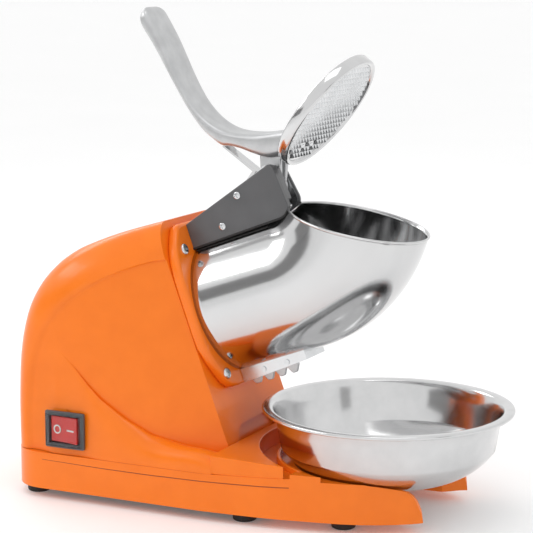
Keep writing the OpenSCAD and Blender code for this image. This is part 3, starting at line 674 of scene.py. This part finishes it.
def screws():
    """Four screws of the front pad and two on the near cover of the bracket."""
    for n, (p, y) in enumerate([(53, -41.4), (53, 41.4), (-51.4, -39.4), (-51.4, 39.4)]):
        cross_screw(f"pad_screw_{n}", lambda a, b, h, p=p, y=y: drum(PAD_S - 0.3 + h, p + a, y + b),
                    4.6, 2.3, ("flange_screws",) if n == 0 else ())
    for n, (x, z) in enumerate([(-21.7, 247.3), (-34.7, 221.7)]):
        cross_screw(f"cover_screw_{n}", lambda a, b, h, x=x, z=z: (x + a, COVER_Y - h, z + b),
                    3.1, 1.3, ("switch_screws",) if n == 0 else ())


front_pad()
screws()


# ---------------------------------------------------------------- hopper
def mouth_height(x):
    """Height of the sloping mouth."""
    return 216.6 + 0.2036 * (129.5 - x)


def hopper():
    """Straight tube, then a bend about the hinge up to the sloping mouth, slit along its upper line."""
    around, rows_tube, rows_bend, rows_seam = 132, 10, 40, 8
    edge = 9.13  # degrees from the upper line to the side of the slit
    closed = 62  # length of the tube over which the slit is closed
    angles = [edge + (360 - 2 * edge) * i / around for i in range(around + 1)]
    rings, ends = [], []
    for deg in angles:
        a = math.radians(180 + deg)
        radial = HINGE_P + TUBE_R * math.cos(a)
        y = TUBE_R * math.sin(a)

        def bend(phi, radial=radial, y=y):
            e = UP * -math.cos(phi) + AXIS * math.sin(phi)
            return HINGE + e * radial + Vector((0, y, 0))

        lo, hi = 0.0, math.radians(120)
        for _ in range(40):
            mid = (lo + hi) / 2
            q = bend(mid)
            lo, hi = (mid, hi) if q.z < mouth_height(q.x) else (lo, mid)
        line = [drum(TUBE_BACK_S + (HINGE_S - TUBE_BACK_S) * k / rows_tube, HINGE_P - radial, y)
                for k in range(rows_tube)]
        line += [bend(lo * k / rows_bend) for k in range(rows_bend + 1)]
        rings.append(line)
        ends.append(line[-1])
    count, cols = len(rings), len(rings[0])
    verts = [v for line in rings for v in line]
    faces = grid_faces(count, cols)
    last, mid = (count - 1) * cols, len(verts)
    verts += [drum(TUBE_BACK_S + closed * k / rows_seam, TUBE_R, 0) for k in range(rows_seam + 1)]
    for k in range(rows_seam):
        faces.append((k, k + 1, mid + k + 1, mid + k))
        faces.append((last + k + 1, last + k, mid + k, mid + k + 1))
    obj = add("hopper", verts, faces, STEEL, slot="polished_steel", replaces=("hopper",), smooth=50)
    wall = obj.modifiers.new("wall", "SOLIDIFY")
    wall.thickness = 1.0 * MM
    wall.offset = -1
    wire("hopper_rim", ends, 1.0, STEEL)


hopper()


# ---------------------------------------------------------------- bowl
def bowl():
    """Spun bowl with a flat wide rim and a rolled edge."""
    flat_r, centre_z, belly, wall = 36, 86.5, 60, 0.8
    outer = [(0.02, centre_z - belly), (flat_r, centre_z - belly)]
    outer += arc(flat_r, centre_z, belly, -90, -35, 20)[1:] + [(88.3, 71.4), (91.6, 80.6), (93, 82.6)]
    roll = arc(98.4, 82.4, 1.6, 200, 450, 10)
    inner = [(94, 84), (92, 83.6), (90.9, 82.2), (90, 79.4), (87.5, 72)]
    inner += arc(flat_r, centre_z, belly - wall, -35, -90, 20) + [(0.02, centre_z - belly + wall)]
    lathe("bowl", outer + roll + inner, at_bowl, BOWL_STEEL, 160, body="bowl", slot="polished_steel",
          replaces=("bowl",), smooth=50)


bowl()


# ---------------------------------------------------------------- lever and pusher
# Upper and lower outline of the handle, from its tip to the pusher, in (x, z)
LEVER_TOP = [(-112, 395.2), (-105.5, 387), (-98, 375), (-92.5, 365), (-87, 353), (-82, 342),
             (-76.5, 331.5), (-69, 319.8), (-59.5, 309.8), (-50, 303), (-40.5, 298.9), (-31.5, 296.8),
             (-22.5, 296.3), (-10, 297.2), (4, 300), (20, 303)]
LEVER_LOW = [(-117, 388), (-113.5, 377), (-105.5, 365.5), (-96.2, 351), (-87.2, 336.2), (-80, 325),
             (-73.5, 315), (-66, 305), (-58, 295.5), (-50, 289.3), (-42, 284.4), (-34, 284.2),
             (-25, 282.5), (-14, 279), (-2, 276.4), (10.6, 278.6)]


def lever():
    """Handle with a dished upper face, and two cheeks below it that turn on the hinge pin."""
    steps, around, half_width = 90, 40, 17.4
    up, low = smooth_path(LEVER_TOP, steps), smooth_path(LEVER_LOW, steps)
    verts = []
    for i in range(steps):
        (ux, uz), (lx, lz) = up[i], low[i]
        squeeze = math.sqrt(max(1 - (1 - min((i + 0.4) / 5, 1)) ** 2, 0.02))
        half = half_width * squeeze
        cx, cz = (ux + lx) / 2, (uz + lz) / 2
        hx, hz = (ux - lx) / 2 * squeeze, (uz - lz) / 2 * squeeze
        dish = 0.3 * ease((i - 6) / 14)
        for k in range(around):
            a = 2 * math.pi * k / around
            c, s = math.cos(a), math.sin(a)
            y = half * math.copysign(abs(c) ** 0.45, c)
            v = math.copysign(abs(s) ** 0.62, s)
            if v > 0:
                v -= dish * v * (1 - (y / half) ** 2)
            verts.append((cx + hx * v, y, cz + hz * v))
    faces = grid_faces(steps, around, True)
    faces += [tuple(range(around)), tuple((steps - 1) * around + k for k in range(around))]
    add("lever_handle", verts, faces, CAST, "lever", "cast_aluminium", ("lever_arm",), 60)
    web = [(-9.5, HINGE.z), (5.5, HINGE.z), (6.6, 264), (7.5, 283), (-11.5, 283), (-10.6, 264)]
    bore, boss = 6.05, 9
    for side, y0, y1 in (("near", -7.7, -3.3), ("far", 3.3, 7.7)):
        prism("lever_cheek_" + side, web, y0, y1, CAST, body="lever", slot="cast_aluminium", bevel=1.0)
        lathe("lever_eye_" + side, [(bore, y0), (boss, y0), (boss, y1), (bore, y1)],
              lambda x, z, h: (HINGE.x + x, h, HINGE.z + z), CAST, 48, body="lever",
              slot="cast_aluminium", bevel=0.6)


lever()

# The pusher in its open pose: the middle of its face, the way it faces, and up along that face
PLATE = Vector((47.6, 0, 311.8))
PLATE_N = Vector((0.809, 0, -0.588))
PLATE_U = Vector((0.588, 0, 0.809))


def plate(u, y, depth):
    """Point on the pusher: u up its face, y across, depth back from the tips of its teeth."""
    return PLATE + PLATE_U * u + Vector((0, y, 0)) - PLATE_N * depth


def pusher():
    """Round steel pan with a raised rim, and a field of small pyramid teeth inside it."""
    profile = [(0.02, 2.4), (47.4, 2.4), (48.2, 0.9), (49.2, 0.25), (50.4, 0.3), (51.4, 1.0), (51.9, 2.2),
               (52, 8.4), (51.4, 9.5), (50, 10), (0.02, 10)]
    lathe("pusher", profile, plate, STEEL, 120, body="lever", slot="polished_steel",
          replaces=("pusher_plate",), smooth=60)
    pitch, reach, field_r, verts, faces = 5.2, 9, 45.6, [], []
    foot, tip, foot_depth, tip_depth = pitch / 2 - 0.15, 0.35, 2.5, 0.25
    screw_u, screw_y, screw_clear = -34, 8, 5.2
    for i in range(-reach, reach + 1):
        for j in range(-reach, reach + 1):
            u, y = i * pitch, (j + 0.5 * (i % 2)) * pitch
            if math.hypot(u, y) > field_r or math.hypot(u - screw_u, abs(y) - screw_y) < screw_clear:
                continue
            n = len(verts)
            verts += [plate(u + a * foot, y + b * foot, foot_depth) for a, b in CORNERS]
            verts += [plate(u + a * tip, y + b * tip, tip_depth) for a, b in CORNERS]
            faces += [(n, n + 1, n + 2, n + 3), (n + 4, n + 5, n + 6, n + 7)]
            faces += [(n + k, n + (k + 1) % 4, n + 4 + (k + 1) % 4, n + 4 + k) for k in range(4)]
    add("pusher_teeth", verts, faces, CAST_BRIGHT, "lever", "polished_steel", smooth=20)


pusher()


# ---------------------------------------------------------------- bracket and comb
COVER = [(-68, 221), (-61, 202), (16.5, 231.9), (20.2, 234.6), (22.3, 238.2), (22.5, 242.5),
         (9.6, 270.6), (7.5, 272.6), (4.3, 273)]


def near_cover():
    """Grey cover on the near side of the hinge bracket."""
    prism("near_cover", COVER, COVER_Y, -20.8, GREY, bevel=0.7, slot="grey_paint",
          replaces=("bracket_cover_near",))
    inner = [(-66, 220), (-62, 207), (2, 231.2), (14, 240), (18.6, 246), (8.6, 269), (4.3, 271.5)]
    prism("near_cover_body", inner, -20.9, -11.2, GREY, bevel=0.4, slot="grey_paint")


def comb():
    """Toothed strip inside the near wall of the chute."""
    half, top, pitch = [(5.3, -62.9), (4.7, -63.2), (3.7, -65), (2.5, -67), (1.5, -67.9)], -52, 11.5
    teeth = [(-6, top)]
    for n in range(4):
        mid = pitch * n
        teeth += [(mid - w, p) for w, p in half] + [(mid + w, p) for w, p in reversed(half)]
    teeth += [(40.5, top)]
    prism("comb", teeth, -15.9, -12.9, CAST, lambda s, y, p: drum(s, p, y), slot="sheet_aluminium",
          bevel=0.5, replaces=("chute_comb",))


def gasket_edge():
    """Dark edge of the gasket along the foot of the cover."""
    edge = [(-61.4, COVER_Y - 0.1, 201.6)] + [(x, COVER_Y - 0.1, z - 0.5) for x, z in COVER[2:5]]
    wire("gasket_edge", edge, 0.9, RUBBER)


near_cover()
comb()
gasket_edge()


# ---------------------------------------------------------------- rocker switch
def rounded(w, h, r):
    """Rectangle of half sizes w and h with corners of radius r."""
    pts = []
    for cx, cz, start in ((w - r, h - r, 0), (r - w, h - r, 90), (r - w, r - h, 180), (w - r, r - h, 270)):
        pts += arc(cx, cz, r, start, start + 90, 6)
    return pts


def on_rocker(x, z, y):
    """Point of the rocker, tipped about its own pivot."""
    turn = Matrix.Rotation(math.radians(-8), 4, "Z")
    return Vector((SWITCH.x, -92, SWITCH.z)) + turn @ Vector((x, y, z))


def switch():
    """Frame of the switch, and the red rocker with its off circle and on bar."""
    outer, hole = rounded(18, 15, 1.2), rounded(14.2, 11.2, 0.8)
    back, face = -94.4, -97
    verts = []
    for ring, y in ((outer, back), (outer, face), (hole, face), (hole, back)):
        verts += [(SWITCH.x + x, y, SWITCH.z + z) for x, z in ring]
    add("switch_frame", verts, tube_faces(4, len(outer)), BEZEL, slot="black_plastic",
        replaces=("switch_bezel",), bevel=0.5)
    shape = [(-13.2, -4.7), (-7, -4.15), (0, -3.7), (7, -4.15), (13.2, -4.7), (12.2, 2.2), (-12.2, 2.2)]
    prism("rocker_cap", shape, -10.6, 10.6, RED, on_rocker, body="power_rocker",
          slot="red_plastic", replaces=("rocker",), bevel=0.7)
    verts, steps, centre = [], 40, -6.6
    for r, y in ((3.7, -4.45), (3.7, -4.85), (2.6, -4.85), (2.6, -4.45)):
        for a in (math.tau * k / steps for k in range(steps)):
            verts.append(on_rocker(centre + r * math.cos(a), r * math.sin(a), y + 0.02 * r * math.cos(a)))
    add("mark_off", verts, tube_faces(4, steps), WHITE, "power_rocker", "white_plastic")
    bar = [(3, -4.6), (10.4, -5.0), (10.4, -4.2), (3, -3.8)]
    prism("mark_on", bar, -0.65, 0.65, WHITE, on_rocker, body="power_rocker",
          slot="white_plastic", bevel=0.1)


switch()


# ---------------------------------------------------------------- feet
def feet():
    """Six rubber feet, each a ring with a rounded lower edge."""
    profile = [(4, 0.9), (4.6, 0.1), (8.3, 0.1), (9.2, 0.8), (9.5, 2), (9.5, 8.2), (4, 8.2)]
    places = [(-180, -76), (-180, 76), (9.3, -76.3), (9.3, 76.3), (87, -61.4), (87, 61.4)]
    for n, (x, y) in enumerate(places):
        lathe(f"foot_{n}", profile, lambda a, b, h, x=x, y=y: (x + a, y + b, h), RUBBER, 48,
              slot="rubber", replaces=("rubber_feet",) if n == 0 else ())


feet()


# ---------------------------------------------------------------- stage and lights
def stage():
    """Pale floor, bright enough to read as white."""
    half = 40
    mesh = bpy.data.meshes.new("floor")
    mesh.from_pydata([(half * a, half * b, 0) for a, b in CORNERS], [], [(0, 1, 2, 3)])
    white = surface("floor_white", (0.9, 0.9, 0.9), (0.92, 0.92, 0.92), (0.6, 0.7), scale=3, grain=40,
                    depth=0.01)
    shader = white.node_tree.nodes["Principled BSDF"]
    shader.inputs["Emission Color"].default_value = (1, 1, 1, 1)
    shader.inputs["Emission Strength"].default_value = 0.1
    mesh.materials.append(white)
    floor = bpy.data.objects.new("floor", mesh)
    bpy.context.scene.collection.objects.link(floor)


def lamp(name, at, aim, size, power, tall=None):
    """Soft rectangular light at a point, turned to another."""
    data = bpy.data.lights.new(name, "AREA")
    data.energy = power
    data.shape = "RECTANGLE"
    data.size, data.size_y = size, tall or size
    obj = bpy.data.objects.new(name, data)
    bpy.context.scene.collection.objects.link(obj)
    obj.location = at
    obj.rotation_euler = (Vector(aim) - Vector(at)).to_track_quat("-Z", "Y").to_euler()


def flag(name, at, aim, w, h, tone=0.02):
    """Dark card off camera for the grey streaks in the steel."""
    mesh = bpy.data.meshes.new(name)
    turn = (Vector(aim) - Vector(at)).to_track_quat("-Z", "Y").to_matrix()
    pts = [Vector(at) + turn @ Vector((x * w / 2, y * h / 2, 0)) for x, y in CORNERS]
    mesh.from_pydata([tuple(p) for p in pts], [], [(0, 1, 2, 3)])
    mesh.materials.append(surface(name + "_grey", (tone,) * 3, (tone * 1.2,) * 3, (0.8, 0.9)))
    obj = bpy.data.objects.new(name, mesh)
    bpy.context.scene.collection.objects.link(obj)


stage()
lamp("key", (-1.4, -0.8, 1.2), (0, 0, 0.17), 1.3, 7, 0.4)
lamp("back", (-1.35, 0.6, 1.2), (0, 0, 0.2), 1.0, 4, 0.35)
lamp("top", (0.3, -0.4, 2.2), (0, 0, 0.1), 1.0, 4)
flag("flag_low", (-1.03, -1.23, 0.49), (0.02, 0, 0.18), 1.2, 0.4, 0.22)
flag("flag_turn", (-1.5, -0.55, 0.42), (0.02, 0, 0.18), 0.7, 0.32, 0.22)
flag("flag_mid", (-1.45, 0.12, 1.3), (0.02, 0, 0.18), 0.28, 0.9, 0.4)
flag("flag_right", (1.5, -0.5, 0.3), (0.03, 0, 0.2), 0.3, 0.7, 0.35)


def studio():
    """Even white surroundings, and plain display colours."""
    world = bpy.data.worlds.new("studio")
    bpy.context.scene.world = world
    world.use_nodes = True
    background = world.node_tree.nodes["Background"]
    background.inputs["Color"].default_value = (1, 1, 1, 1)
    background.inputs["Strength"].default_value = 0.95
    bpy.context.scene.view_settings.view_transform = "Standard"


studio()
